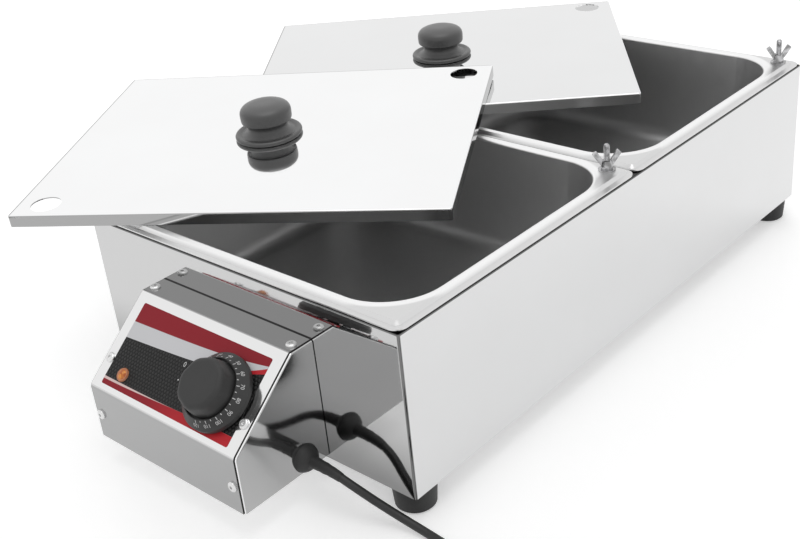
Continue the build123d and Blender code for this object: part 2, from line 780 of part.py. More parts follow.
thermostat_frames = [slope_frame(u, dial_v, label_thickness) for u in thermostat_screw_us]
pan_head_screws("thermostat_screws", thermostat_frames, fastener_radius, fastener_head,
                thermostat_head_height, thermostat_screw_length)

shaft_bottom = -thermostat_depth / 2 + 0.3
shaft_top = dial_cap_height - 6.0
with BuildPart() as thermostat_shaft:
    with BuildSketch(slope_frame(dial_u, dial_v, shaft_bottom)):
        Circle(shaft_radius)
    extrude(amount=shaft_top - shaft_bottom)
save(thermostat_shaft.part, "thermostat_shaft")

# Dial: a thin cone skirt for the scale, and an eight-sided grip with soft corners
dial_section = Plane(on_slope(dial_u, dial_v), x_dir=(1, 0, 0), z_dir=tuple(-c for c in slope_up))
dial_bottom = label_thickness + dial_lift
skirt_top = dial_bottom + dial_skirt_height
groove_radius = dial_cap_radius + dial_groove
groove_floor = skirt_top - dial_groove_depth
web_under = groove_floor - dial_wall
scale_radius = groove_radius + dial_scale_land
scale_fall = (skirt_top - dial_bottom - dial_edge) / (dial_skirt_radius - scale_radius)
under_scale = skirt_top - dial_wall * hypot(1, scale_fall)
inner_radius = dial_skirt_radius - dial_wall
inner_level = under_scale - (inner_radius - scale_radius) * scale_fall
web_radius = scale_radius + (under_scale - web_under) / scale_fall
with BuildPart() as dial_knob:
    with BuildSketch(dial_section):
        Polygon((0, groove_floor), (groove_radius, groove_floor), (groove_radius, skirt_top),
                (scale_radius, skirt_top), (dial_skirt_radius, dial_bottom + dial_edge),
                (dial_skirt_radius, dial_bottom), (inner_radius, dial_bottom),
                (inner_radius, inner_level), (web_radius, web_under), (0, web_under),
                align=None)
    revolve(axis=dial_axis)
    with BuildSketch(slope_frame(dial_u, dial_v, web_under)):
        grip = RegularPolygon(dial_cap_radius, dial_cap_facets, major_radius=False)
        fillet(grip.vertices(), radius=dial_cap_corner)
    extrude(amount=dial_cap_height - web_under, taper=dial_cap_taper)
    crown_frame = slope_frame(dial_u, dial_v, dial_cap_height)
    crown_edges = [e for e in dial_knob.edges()
                   if abs(crown_frame.to_local_coords(e.center()).Z) < 0.05]
    fillet(crown_edges, radius=dial_cap_bend)
    with BuildSketch(slope_frame(dial_u, dial_v, bush_reach + 1.0)):
        Circle(shaft_radius + 2.5)
    extrude(amount=groove_floor - bush_reach - 1.0)
    with BuildSketch(slope_frame(dial_u, dial_v, bush_reach)):
        Circle(shaft_radius)
    extrude(amount=shaft_top - bush_reach, mode=Mode.SUBTRACT)
save(dial_knob.part, "dial_knob")

# Pilot lamp: a domed lens in a thin bezel, its body behind the slope
lamp_axis = Axis(on_slope(lamp_u, lamp_v), slope_out)
lamp_section = Plane(on_slope(lamp_u, lamp_v), x_dir=(1, 0, 0),
                     z_dir=tuple(-c for c in slope_up))
lens_radius = lamp_radius - lamp_bezel
lens_crown = 3.6
with BuildPart() as pilot_lens:
    with BuildSketch(lamp_section):
        with BuildLine():
            lens_side = lens_radius - 0.4
            Polyline((0, lens_crown), (0, -2), (lens_side, -2), (lens_side, 1.6))
            TangentArc((0, lens_crown), (lens_side, 1.6), tangent=(1, 0))
        make_face()
    revolve(axis=lamp_axis)
save(pilot_lens.part, "pilot_lens")
with BuildPart() as pilot_body:
    with BuildSketch(lamp_section):
        Polygon((0, -lamp_body_length), (lens_radius, -lamp_body_length), (lens_radius, 0.4),
                (lamp_radius, 0.4), (lamp_radius - 0.5, 1.6), (lens_radius - 0.4, 1.6),
                (lens_radius - 0.4, -2), (0, -2), align=None)
    revolve(axis=lamp_axis)
save(pilot_body.part, "pilot_body")

# Terminal block: three ways on the tray's floor
block_x = -20.0
block_inset = 52.0
block_y = front_y - block_inset
block_width = 36.0
block_depth = 18.0
block_base = 8.0
block_rise = 7.0
way_count = 3
way_pitch = 11.5
way_width = 8.5
way_row = 9.0
terminal_radius = 2.2
terminal_hole = 6.0
terminal_height = 3.2
block_top = box_bottom + sheet + block_base + block_rise
with BuildPart() as terminal_block:
    with BuildSketch(Plane.XY.offset(box_bottom + sheet)):
        with Locations((block_x, block_y)):
            Rectangle(block_width, block_depth)
    extrude(amount=block_base)
    with BuildSketch(Plane.XY.offset(block_top - block_rise)):
        with Locations((block_x, block_y)):
            with GridLocations(way_pitch, 0, way_count, 1):
                Rectangle(way_width, block_depth)
    extrude(amount=block_rise)
    with BuildSketch(Plane.XY.offset(block_top)):
        with Locations((block_x, block_y)):
            with GridLocations(way_pitch, way_row, way_count, 2):
                Circle(terminal_radius)
    extrude(amount=-terminal_hole, mode=Mode.SUBTRACT)
save(terminal_block.part, "terminal_block")
with BuildPart() as terminal_screws:
    with BuildSketch(Plane.XY.offset(block_top - terminal_hole)):
        with Locations((block_x, block_y)):
            with GridLocations(way_pitch, way_row, way_count, 2):
                Circle(terminal_radius)
    extrude(amount=terminal_height)
save(terminal_screws.part, "terminal_screws")

# Cord grommet: a domed rubber bush in the tray's right side
exit_x = side_outer
exit_y = front_y - cord_exit_depth
exit_z = cord_exit_height
exit_axis = Axis((exit_x, exit_y, exit_z), (1, 0, 0))
grommet_end = grommet_dome + 2.2
inner_lip = 3.0
with BuildPart() as cord_grommet:
    with BuildSketch(Plane.XZ.offset(-exit_y)):
        with BuildLine():
            dome_foot = (exit_x, exit_z + grommet_radius)
            dome_mid = (exit_x + grommet_dome * 0.72, exit_z + grommet_radius * 0.72)
            dome_top = (exit_x + grommet_dome, exit_z + cord_radius + 1.6)
            ThreePointArc(dome_foot, dome_mid, dome_top)
            Polyline(dome_top, (exit_x + grommet_end, exit_z + cord_radius + 1.3),
                     (exit_x + grommet_end, exit_z), (exit_x - sheet - inner_lip, exit_z),
                     (exit_x - sheet - inner_lip, exit_z + grommet_neck + 2.0),
                     (exit_x - sheet, exit_z + grommet_neck + 2.0),
                     (exit_x - sheet, exit_z + grommet_neck), (exit_x, exit_z + grommet_neck),
                     dome_foot)
        make_face()
    revolve(axis=exit_axis)
save(cord_grommet.part, "cord_grommet")

# Inner lead: the sheathed end of the lead, from the grommet to a clip on the tray's floor
lead_start = (exit_x - sheet - inner_lip, exit_y, exit_z)
clip_x = 30.0
with BuildPart() as inner_lead:
    with BuildSketch(facing(lead_start, (-1, 0, 0), (0, 1, 0))):
        Circle(cord_radius)
    extrude(amount=lead_start[0] - clip_x)
save(inner_lead.part, "inner_lead")
clip_half = 6.0
with BuildPart() as cord_clip:
    with BuildSketch(Plane.YZ.offset(clip_x + 6.0)):
        with BuildLine():
            top_z = exit_z + cord_radius + 2.0
            floor_z = box_bottom + sheet
            Polyline((exit_y - clip_half, floor_z), (exit_y + clip_half + 8, floor_z),
                     (exit_y + clip_half + 8, floor_z + 2), (exit_y + clip_half, floor_z + 2),
                     (exit_y + clip_half, top_z), (exit_y - clip_half, top_z),
                     (exit_y - clip_half, floor_z))
        make_face()
        with Locations((exit_y, exit_z)):
            Circle(cord_radius, mode=Mode.SUBTRACT)
    extrude(amount=8)
save(cord_clip.part, "cord_clip")

# Sheathed elements under the wells: a loop of tube on folded brackets, open at the front
bracket_top = heater_height - heater_radius
bracket_width = 14.0
bracket_over = 5.0
bracket_leg = 8.0
bracket_foot = 22.0
for which, pan_y in zip(("front", "rear"), pan_ys):
    near, far = pan_y - heater_reach_y, pan_y + heater_reach_y
    with BuildPart() as heater:
        with BuildLine():
            loop = FilletPolyline(
                (-heater_gap / 2, near, heater_height), (-heater_reach_x, near, heater_height),
                (-heater_reach_x, far, heater_height), (heater_reach_x, far, heater_height),
                (heater_reach_x, near, heater_height), (heater_gap / 2, near, heater_height),
                radius=heater_bend)
        with BuildSketch(Plane((-heater_gap / 2, near, heater_height), z_dir=(-1, 0, 0))):
            Circle(heater_radius)
        sweep(path=loop)
    save(heater.part, f"{which}_heater")
    with BuildPart() as brackets:
        with BuildSketch(Plane.XZ.offset(-(pan_y + bracket_width / 2))):
            for side in (-1, 1):
                with BuildLine():
                    out = side * (heater_reach_x + bracket_over)
                    mid = side * (heater_reach_x - bracket_leg)
                    back = side * (heater_reach_x - bracket_foot)
                    Polyline((out, bracket_top), (mid, bracket_top), (mid, base_top + sheet),
                             (back, base_top + sheet), (back, base_top),
                             (mid + side * sheet, base_top),
                             (mid + side * sheet, bracket_top - sheet), (out, bracket_top - sheet),
                             (out, bracket_top))
                make_face()
        extrude(amount=bracket_width)
    save(brackets.part, f"{which}_heater_brackets")

# Sensor: a bulb against the front well's floor, its clip, and the capillary to the thermostat
bulb_z = well_under - bulb_radius
bulb_y = pan_ys[0] - bulb_offset
with BuildPart() as sensor_bulb:
    with BuildSketch(Plane.YZ.offset(-bulb_length / 2)):
        with Locations((bulb_y, bulb_z)):
            Circle(bulb_radius)
    extrude(amount=bulb_length)
    fillet(sensor_bulb.edges().filter_by(GeomType.CIRCLE), radius=1.2)
save(sensor_bulb.part, "sensor_bulb")
clip_sheet = 0.8
with BuildPart() as bulb_clips:
    for x in (-bulb_clip_reach, bulb_clip_reach):
        with BuildSketch(Plane.YZ.offset(x - 5)):
            with Locations((bulb_y, bulb_z)):
                Circle(bulb_radius + clip_sheet)
            with Locations((bulb_y, bulb_z + bulb_radius / 2)):
                Rectangle(2 * (bulb_radius + clip_sheet), bulb_radius)
            with Locations((bulb_y + 6, well_under - clip_sheet / 2)):
                Rectangle(14, clip_sheet)
            with Locations((bulb_y, bulb_z + 10 + bulb_radius)):
                Rectangle(20, 20, mode=Mode.SUBTRACT)
            with Locations((bulb_y, bulb_z)):
                Circle(bulb_radius, mode=Mode.SUBTRACT)
            with Locations((bulb_y, bulb_z + bulb_radius / 2)):
                Rectangle(2 * bulb_radius, bulb_radius, mode=Mode.SUBTRACT)
        extrude(amount=10)
save(bulb_clips.part, "bulb_clips")

back_lift = -sheet - thermostat_depth
with BuildPart() as capillary:
    with BuildLine():
        tube = FilletPolyline(
            (bulb_length / 2, bulb_y, bulb_z),
            (bulb_length / 2 + capillary_straight, bulb_y, bulb_z),
            (capillary_dip_x, pan_ys[0] - heater_reach_y - capillary_past, bulb_z),
            (capillary_dip_x, front_y + capillary_dip_y, wire_hole_height + capillary_rise),
            (capillary_hole_x, front_y - capillary_box_y, wire_hole_height),
            on_slope(dial_u, dial_v, back_lift - capillary_back),
            on_slope(dial_u, dial_v, back_lift), radius=capillary_bend)
    with BuildSketch(Plane((bulb_length / 2, bulb_y, bulb_z), z_dir=(1, 0, 0))):
        Circle(capillary_radius)
    sweep(path=tube)
save(capillary.part, "capillary")

# Mains lead: the free stretch from the grommet down to the table and away to the coil
coil_level = cord_radius + floor_gap
upper_level = coil_level + coil_pitch
heading = radians(coil_heading)
coil_start = Vector(coil_start_x, coil_start_y, coil_level)
right_hand = Vector(sin(heading), -cos(heading), 0)
coil_middle = coil_start + right_hand * coil_radius
route = [(exit_x + grommet_end, exit_y, exit_z), (108.8, -309.75, 35.0), (127.0, -308.2, 29.2),
         (146.0, -301.4, 16.8), (165.5, -296.0, 7.4), (184.5, -294.2, coil_level),
         (208.5, -296.6, coil_level), (238.0, -301.3, coil_level), tuple(coil_start)]


def corner_radii(points):
    """For each corner of a route, 0.45 of its shorter run over the tangent of half its turn."""
    radii = []
    for before, corner, after in zip(points, points[1:], points[2:]):
        first = Vector(corner) - Vector(before)
        second = Vector(after) - Vector(corner)
        turn = radians(first.get_angle(second))
        radii.append(0.45 * min(first.length, second.length) / tan(turn / 2))
    return radii


cord_radii = corner_radii(route)
print("lead corner radii", [round(r, 1) for r in cord_radii])
with BuildPart() as power_cord:
    with BuildLine():
        lead = FilletPolyline(*route, radius=cord_radii)
    with BuildSketch(Plane(route[0], z_dir=Vector(route[1]) - Vector(route[0]))):
        Circle(cord_radius)
    sweep(path=lead)
cord_section = pi * cord_radius ** 2
print("lead length", round(lead.length, 1), "tube over section",
      round(power_cord.part.volume / cord_section, 1))
save(power_cord.part, "power_cord")


def coil_point(turn):
    """A point of the wound lead, by turns: in on the table, up in a half turn, out on top."""
    inward = coil_turns_per_layer
    climb = 0.5
    if turn <= inward:
        radius, level = coil_radius - coil_pitch * turn, coil_level
    elif turn <= inward + climb:
        share = (turn - inward) / climb
        radius = coil_radius - coil_pitch * inward - coil_dip * sin(pi * share)
        level = coil_level + coil_pitch * (1 - cos(pi * share)) / 2
    else:
        radius = coil_radius - coil_pitch * (2 * inward + climb - turn)
        level = upper_level
    angle = heading + pi / 2 - 2 * pi * turn
    return Vector(coil_middle.X + radius * cos(angle), coil_middle.Y + radius * sin(angle), level)


def biarc(start, start_way, end, end_way):
    """Two arcs, tangent to each other and to both given ways."""
    chord = end - start
    both = start_way + end_way
    a = 2 * (1 - start_way.dot(end_way))
    b = 2 * chord.dot(both)
    c = -chord.dot(chord)
    reach = (-b + (b * b - 4 * a * c) ** 0.5) / (2 * a) if a > 1e-9 else -c / b
    joint = (start + start_way * reach + end - end_way * reach) / 2
    middle_way = (end - end_way * reach - start - start_way * reach).normalized()
    return [Edge.make_tangent_arc(start, start_way, joint),
            Edge.make_tangent_arc(joint, middle_way, end)]


coil_turns = 2 * coil_turns_per_layer + 0.5
quarters = int(round(coil_turns * 4))
nudge = 1e-4
coil_points = [coil_point(i / 4) for i in range(quarters + 1)]
coil_ways = [(coil_point(i / 4 + nudge) - coil_point(i / 4 - nudge)).normalized()
             for i in range(1, quarters)]
start_way = Vector(cos(heading), sin(heading), 0)
end_angle = heading - 2 * pi * coil_turns
end_way = Vector(cos(end_angle), sin(end_angle), 0)
coil_ways = [start_way] + coil_ways + [end_way]
coil_edges = []
for i in range(quarters):
    coil_edges += biarc(coil_points[i], coil_ways[i], coil_points[i + 1], coil_ways[i + 1])
plug_axis = plug_radius + floor_gap
coil_end = coil_points[-1]
drop_end = coil_end + end_way * tail_length
drop_end = Vector(drop_end.X, drop_end.Y, plug_axis)
coil_edges += biarc(coil_end, end_way, drop_end, end_way)
tail_end = drop_end + end_way * 2 * cord_radius
coil_edges.append(Edge.make_line(drop_end, tail_end))
coil_wire = Wire(coil_edges)
samples = [coil_wire.position_at(i / 600) for i in range(601)]
step = coil_wire.length / 600
skip = ceil(5 * cord_radius / step)
least = min((samples[i] - samples[j]).length
            for i in range(601) for j in range(i + skip, 601))
print("coil length", round(coil_wire.length, 1), "turns", coil_turns,
      "least gap", round(least - 2 * cord_radius, 2))
with BuildPart() as power_cord_coil:
    with BuildSketch(Plane(coil_points[0], z_dir=start_way)):
        Circle(cord_radius)
    sweep(path=coil_wire)
print("coil tube over section", round(power_cord_coil.part.volume / cord_section, 1))
save(power_cord_coil.part, "power_cord_coil")

# Plug: a moulded round body with a waisted grip and a tapered relief, lying on the table
plug_side = Plane(tail_end, x_dir=end_way, z_dir=(end_way.Y, -end_way.X, 0))
grip_at = plug_relief_length + plug_length * 0.3
face_at = plug_relief_length + plug_length
disc = 6.0
with BuildPart() as power_plug:
    with BuildSketch(plug_side):
        with BuildLine():
            relief_end = (plug_relief_length, cord_radius + 2.6)
            shoulder = (plug_relief_length + 3.0, plug_grip_radius)
            waist = (grip_at + 2.0, plug_grip_radius - 0.6)
            back_edge = (face_at - disc, plug_radius)
            face_edge = (face_at - 1.2, plug_radius)
            face_rim = (face_at, plug_radius - 1.2)
            Polyline((face_at, 0), (0, 0), (0, cord_radius + 0.8), relief_end)
            Polyline(relief_end, shoulder, waist)
            TangentArc(waist, back_edge, tangent=(1, 0.05))
            Line(back_edge, face_edge)
            TangentArc(face_edge, face_rim, tangent=(1, 0))
            Line(face_rim, (face_at, 0))
        make_face()
    revolve(axis=Axis(tail_end, end_way))
save(power_plug.part, "power_plug")
plug_frame = Plane(tail_end + end_way * face_at, x_dir=(-end_way.Y, end_way.X, 0), z_dir=end_way)
with BuildPart() as plug_pins:
    with BuildSketch(plug_frame):
        with GridLocations(plug_pin_pitch, 0, 2, 1):
            Circle(plug_pin_radius)
    extrude(amount=plug_pin_length)
    pin_tips = [e for e in plug_pins.edges().filter_by(GeomType.CIRCLE)
                if abs(plug_frame.to_local_coords(e.center()).Z - plug_pin_length) < 0.01]
    fillet(pin_tips, radius=plug_pin_radius * 0.6)
save(plug_pins.part, "plug_pins")

print("rim top", rim_top, "rear lid top", round(rear_lid_top, 2))
print("front lid top middle", [round(c, 2) for c in front_frame.origin], "out of its top",
      [round(c, 4) for c in front_frame.z_dir])
print("slope", round(degrees(slope), 2), "length", round(slope_length, 2))
print("dial axis point", [round(c, 2) for c in on_slope(dial_u, dial_v)])
print("coil middle", [round(c, 1) for c in coil_middle], "plug starts",
      [round(c, 1) for c in tail_end])
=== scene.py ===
"""Looks for a countertop food melter: two drawn pans in a folded steel housing, two loose lids,
and a slanted control box with a dial, a pilot lamp and a mains lead. Metres, as the frame is.
"""

from math import cos, pi, radians, sin

import bpy
from mathutils import Matrix, Vector


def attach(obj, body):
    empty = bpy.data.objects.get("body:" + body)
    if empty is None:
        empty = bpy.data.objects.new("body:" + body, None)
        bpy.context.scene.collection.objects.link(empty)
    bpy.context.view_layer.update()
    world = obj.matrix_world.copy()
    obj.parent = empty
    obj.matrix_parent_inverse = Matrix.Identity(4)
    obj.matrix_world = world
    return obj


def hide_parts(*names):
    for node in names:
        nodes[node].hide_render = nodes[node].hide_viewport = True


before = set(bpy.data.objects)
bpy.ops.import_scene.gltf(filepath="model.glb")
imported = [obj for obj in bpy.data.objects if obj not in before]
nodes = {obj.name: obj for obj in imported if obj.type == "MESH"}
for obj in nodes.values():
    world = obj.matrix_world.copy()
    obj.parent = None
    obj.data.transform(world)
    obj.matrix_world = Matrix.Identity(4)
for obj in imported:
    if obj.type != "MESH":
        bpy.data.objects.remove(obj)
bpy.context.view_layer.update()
mm = 0.001

# Camera: it stands at the right of the control box and looks down along the body, slightly
# rolled, as the photograph was taken.
image_width = 800
focal_pixels = 1204.41
sensor_width = 36
camera_turn = radians(44.408)
camera_rise = radians(28.283)
camera_roll = radians(-6.075)
camera_place = Vector((633.67, -754.54, 558.13)) * mm


def in_scene(name, data):
    """A new object of the given data, put in the scene."""
    made = bpy.data.objects.new(name, data)
    bpy.context.scene.collection.objects.link(made)
    return made


camera_back = Vector((sin(camera_turn) * cos(camera_rise),
                      -cos(camera_turn) * cos(camera_rise), sin(camera_rise)))
level_right = (-camera_back).cross(Vector((0, 0, 1))).normalized()
level_up = level_right.cross(-camera_back)
camera_right = level_right * cos(camera_roll) + level_up * sin(camera_roll)
camera_up = level_up * cos(camera_roll) - level_right * sin(camera_roll)
camera_data = bpy.data.cameras.new("camera")
camera_data.sensor_fit = "HORIZONTAL"
camera_data.sensor_width = sensor_width
camera_data.lens = focal_pixels * sensor_width / image_width
camera_data.clip_start = 0.01
camera = in_scene("camera", camera_data)
camera.matrix_world = Matrix.Translation(camera_place) @ Matrix(
    (camera_right, camera_up, camera_back)).transposed().to_4x4()
bpy.context.scene.camera = camera
bpy.context.scene.view_settings.view_transform = "Standard"

# Mains lead: a round black lead of soft plastic, 6.4 mm thick. It leaves its bush straight,
# drops to the table, and what the picture doesn't show is wound up beside the melter.
cord_radius = 3.2 * mm
coil_radius = 45.5 * mm
coil_pitch = 7.1 * mm
coil_turns_per_layer = 2.75
coil_climb = 0.5
coil_dip = 1.8 * mm
points_per_turn = 16
coil_heading = radians(-12)
coil_level = 3.3 * mm
plug_level = 18.1 * mm
tail_reach = 50 * mm
tail_shares = (0.3, 0.55, 0.8)
straight_end = 6.4 * mm
cord_exit = Vector((93.5, -309.75, 35.0)) * mm
cord_route = [cord_exit] + [Vector(p) * mm for p in (
    (108.8, -309.75, 35.0), (127.0, -308.2, 29.2), (146.0, -301.4, 16.8), (165.5, -296.0, 7.4),
    (184.5, -294.2, 3.3), (208.5, -296.6, 3.3), (238.0, -301.3, 3.3), (266.0, -307.0, 3.3))]
coil_start = cord_route[-1]
coil_middle = coil_start + Vector((sin(coil_heading), -cos(coil_heading), 0)) * coil_radius
coil_way = Vector((cos(coil_heading), sin(coil_heading), 0))
step_angle = 2 * pi / points_per_turn
polygon_growth = 4 / (3 + cos(step_angle))


def coil_point(turn):
    """A point of the wound lead, by turns: in on the table, up in a half turn, out on top."""
    inward = coil_turns_per_layer
    level = coil_level
    if turn <= inward:
        radius = coil_radius - coil_pitch * turn
    elif turn <= inward + coil_climb:
        share = (turn - inward) / coil_climb
        radius = coil_radius - coil_pitch * inward - coil_dip * sin(pi * share)
        level += coil_pitch * (1 - cos(pi * share)) / 2
    else:
        radius = coil_radius - coil_pitch * (2 * inward + coil_climb - turn)
        level += coil_pitch
    angle = coil_heading + pi / 2 - 2 * pi * turn
    around = Vector((cos(angle), sin(angle), 0)) * radius * polygon_growth
    return Vector((coil_middle.x, coil_middle.y, level)) + around


coil_turns = 2 * coil_turns_per_layer + coil_climb
coil_count = int(coil_turns * points_per_turn)
coil_points = [coil_point(i / points_per_turn) for i in range(1, coil_count)]
coil_end = coil_start + Vector((0, 0, coil_pitch))
tail_end = coil_end + coil_way * (tail_reach + straight_end)
tail_end.z = plug_level
tail_points = [coil_end]
for share in tail_shares:
    rise = (plug_level - coil_end.z) * (1 - cos(pi * share)) / 2
    tail_points.append(coil_end + coil_way * tail_reach * share + Vector((0, 0, rise)))
tail_points += [tail_end - coil_way * straight_end, tail_end]


def round_curve(name, kind, points, radius, resolution):
    """A round curve with closed ends, of one spline of the given kind and points."""
    data = bpy.data.curves.new(name, "CURVE")
    data.dimensions = "3D"
    data.bevel_depth = radius
    data.bevel_resolution = resolution
    data.resolution_u = 8
    data.use_fill_caps = True
    spline = data.splines.new(kind)
    spline.points.add(len(points) - 1)
    for control, point in zip(spline.points, points):
        control.co = (*point, 1)
    return in_scene(name, data)


lead_points = cord_route + coil_points + tail_points
mains_lead = round_curve("mains_lead", "NURBS", lead_points, cord_radius, 5)
lead_spline = mains_lead.data.splines[0]
lead_spline.order_u = 3
lead_spline.use_endpoint_u = True


class Shade:
    """One changing value of a material. Sums and products of it add their own Math nodes."""
    tree = None

    def __init__(self, socket):
        self.socket = socket

    @classmethod
    def node(cls, kind, settings=None, inputs=None, output=0):
        """Any other node: its settings, the values or links of its inputs, one of its outputs."""
        made = cls.tree.nodes.new(kind)
        for name, value in (settings or {}).items():
            setattr(made, name, value)
        for name, value in (inputs or {}).items():
            if isinstance(value, Shade):
                cls.tree.links.new(value.socket, made.inputs[name])
            else:
                made.inputs[name].default_value = value
        return cls(made.outputs[output])

    @classmethod
    def math(cls, operation, *values):
        return cls.node("ShaderNodeMath", {"operation": operation}, dict(enumerate(values)))

    def __add__(self, other):
        return Shade.math("ADD", self, other)

    def __radd__(self, other):
        return Shade.math("ADD", other, self)

    def __sub__(self, other):
        return Shade.math("SUBTRACT", self, other)

    def __rsub__(self, other):
        return Shade.math("SUBTRACT", other, self)

    def __mul__(self, other):
        return Shade.math("MULTIPLY", self, other)

    def __rmul__(self, other):
        return Shade.math("MULTIPLY", other, self)

    def __truediv__(self, other):
        return Shade.math("DIVIDE", self, other)

    def __abs__(self):
        return Shade.math("ABSOLUTE", self)

    def __pow__(self, other):
        return Shade.math("POWER", self, other)

    def step(self, low, high):
        """0 below low, 1 above high, and a soft step between them."""
        settings = {"interpolation_type": "SMOOTHSTEP"}
        span = {"Value": self, "From Min": low, "From Max": high}
        return Shade.node("ShaderNodeMapRange", settings, span)


def place(stretch=(1, 1, 1)):
    """The point of the surface in the piece's own metres, stretched for a pattern."""
    point = Shade.node("ShaderNodeTexCoord", output="Object")
    return Shade.node("ShaderNodeMapping", {"vector_type": "POINT"},
                      {"Vector": point, "Scale": stretch})


def noise(grains, detail, stretch=(1, 1, 1)):
    """Even noise around 0.5, of the given number of grains to the metre."""
    inputs = {"Vector": place(stretch), "Scale": grains, "Detail": detail}
    return Shade.node("ShaderNodeTexNoise", inputs=inputs)


def mix(share, low, high):
    """A colour between two colours, which are the Mix node's sockets 6 and 7, and its output 2."""
    return Shade.node("ShaderNodeMix", {"data_type": "RGBA"}, {0: share, 6: low, 7: high}, 2)


def grey(level):
    return (level, level, level, 1)


def bump(height, depth, below=None):
    """A normal tilted by a height between 0 and 1, as deep as depth in metres. It may lie on
    another, broader one."""
    inputs = {"Height": height, "Distance": depth}
    if below:
        inputs["Normal"] = below
    return Shade.node("ShaderNodeBump", inputs=inputs)


def start(owner):
    """Empty the nodes of a new material or world, which the next values join."""
    owner.use_nodes = True
    owner.node_tree.nodes.clear()
    Shade.tree = owner.node_tree
    return owner


def show(shader, output="ShaderNodeOutputMaterial"):
    """Join a shader to the output of the material or world that was started."""
    last = Shade.tree.nodes.new(output)
    Shade.tree.links.new(shader.socket, last.inputs["Surface"])


def start_material(name):
    return start(bpy.data.materials.new(name))


def finish_material(**sockets):
    """The surface of the material that was started, from its main shader's sockets."""
    named = {name.replace("_", " ").title().replace("Ior", "IOR"): value
             for name, value in sockets.items()}
    show(Shade.node("ShaderNodeBsdfPrincipled", inputs=named))


def moulded(name, low, high, clouds, grain, roughness, spread, relief, **sockets):
    """A moulded skin: clouds of grey from low to high, and a fine grain that sets roughness and
    relief. Clouds and grain are what noise is given: grains to the metre, and detail."""
    finish = start_material(name)
    skin = noise(*grain)
    finish_material(base_color=mix(noise(*clouds), grey(low), grey(high)),
                    roughness=roughness + spread * skin, normal=bump(skin, relief), **sockets)
    return finish


def dress(finish, *pieces):
    """Give one finish to pieces or named nodes of the frame."""
    for piece in pieces:
        thing = nodes[piece] if isinstance(piece, str) else piece
        thing.data.materials.clear()
        thing.data.materials.append(finish)


cord_black = moulded("cord_black", 0.010, 0.018, clouds=(60, 2), grain=(900, 4),
                     roughness=0.36, spread=0.14, relief=0.06 * mm)
dress(cord_black, mains_lead)
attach(mains_lead, "melter")
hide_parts("power_cord", "power_cord_coil")

# Bush and strain relief: a domed rubber bush snapped into the box's side, with a ribbed sleeve
# that thins out along the lead and keeps it from kinking. The feet and the pans' gaskets are
# moulded of the same black rubber.
relief_length = 26 * mm
relief_radius = 4.7 * mm
relief_tip = 3.45 * mm
rib_count = 5
rib_depth = 0.18 * mm
wall_sides = 4


def mesh_of(curve):
    """The mesh that a curve makes. The curve itself is removed."""
    bpy.context.view_layer.update()
    shaped = curve.evaluated_get(bpy.context.evaluated_depsgraph_get())
    mesh = bpy.data.meshes.new_from_object(shaped)
    bpy.data.objects.remove(curve)
    return mesh


centreline = in_scene("centreline", mains_lead.data.copy())
centreline.data.bevel_depth = 0
line_points = [vertex.co.copy() for vertex in mesh_of(centreline).vertices]
reached = 0.0
last_point = line_points[0]
relief_points = [last_point]
relief_radii = [relief_radius]
for point in line_points[1:]:
    reached += (point - last_point).length
    last_point = point
    if reached > relief_length:
        break
    share = reached / relief_length
    ribs = rib_depth * cos(2 * pi * rib_count * share)
    relief_points.append(point)
    relief_radii.append(relief_radius + (relief_tip - relief_radius) * share + ribs)
relief_curve = round_curve("relief_curve", "POLY", relief_points, 1, 6)
for control, radius in zip(relief_curve.data.splines[0].points, relief_radii):
    control.radius = radius
lead_relief = in_scene("lead_relief", mesh_of(relief_curve))
for face in lead_relief.data.polygons:
    face.use_smooth = len(face.vertices) <= wall_sides
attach(lead_relief, "melter")

rubber = moulded("black_rubber", 0.012, 0.024, clouds=(90, 3), grain=(1400, 3),
                 roughness=0.45, spread=0.2, relief=0.08 * mm)
dress(rubber, lead_relief, "cord_grommet", "front_gasket", "rear_gasket",
      "front_left_foot", "front_right_foot", "rear_left_foot", "rear_right_foot")

# Plug: a moulded round plug of black plastic with two round brass pins. The lead's inner end
# and the clip that holds it in the box are of the same black plastic.


def mottled(name, low, high, grain, roughness, spread, relief=None, contrast=None, **sockets):
    """A finish whose colour, roughness and relief, if it has any, follow one noise. Contrast
    gives the two levels of that noise between which its colour changes."""
    finish = start_material(name)
    patches = noise(*grain)
    share = patches.step(*contrast) if contrast else patches
    if relief:
        sockets["normal"] = bump(patches, relief)
    finish_material(base_color=mix(share, low, high), roughness=roughness + spread * patches,
                    **sockets)
    return finish


plug_black = moulded("plug_black", 0.011, 0.017, clouds=(70, 2), grain=(1100, 2),
                     roughness=0.42, spread=0.16, relief=0.05 * mm)
dress(plug_black, "power_plug", "cord_clip", "inner_lead")
brass = mottled("brass", (0.55, 0.38, 0.14, 1), (0.72, 0.52, 0.22, 1), grain=(300, 3),
                roughness=0.2, spread=0.2, metallic=1.0)
dress(brass, "plug_pins")

# Floor and light: a wide white table top that runs on to the background, one big soft light
# behind and above the melter, one over it, and an even white room.
floor_size = 12
floor_level = 0.86
floor_lift = 0.37
room_level = 0.60
melter_middle = Vector((0, 0, 0.1))


def looked_at():
    """1 where the camera, a mirror or glass looks at the surface, 0 where it lights others."""
    ray = Shade.tree.nodes.new("ShaderNodeLightPath")
    eye, mirror, glass = [Shade(ray.outputs[f"Is {kind} Ray"])
                          for kind in ("Camera", "Glossy", "Transmission")]
    return Shade.math("MAXIMUM", eye, Shade.math("MAXIMUM", mirror, glass))


def add_alone(add, **settings):
    """A new object from an operator, with nothing else selected."""
    bpy.ops.object.select_all(action="DESELECT")
    add(**settings)
    return bpy.context.object


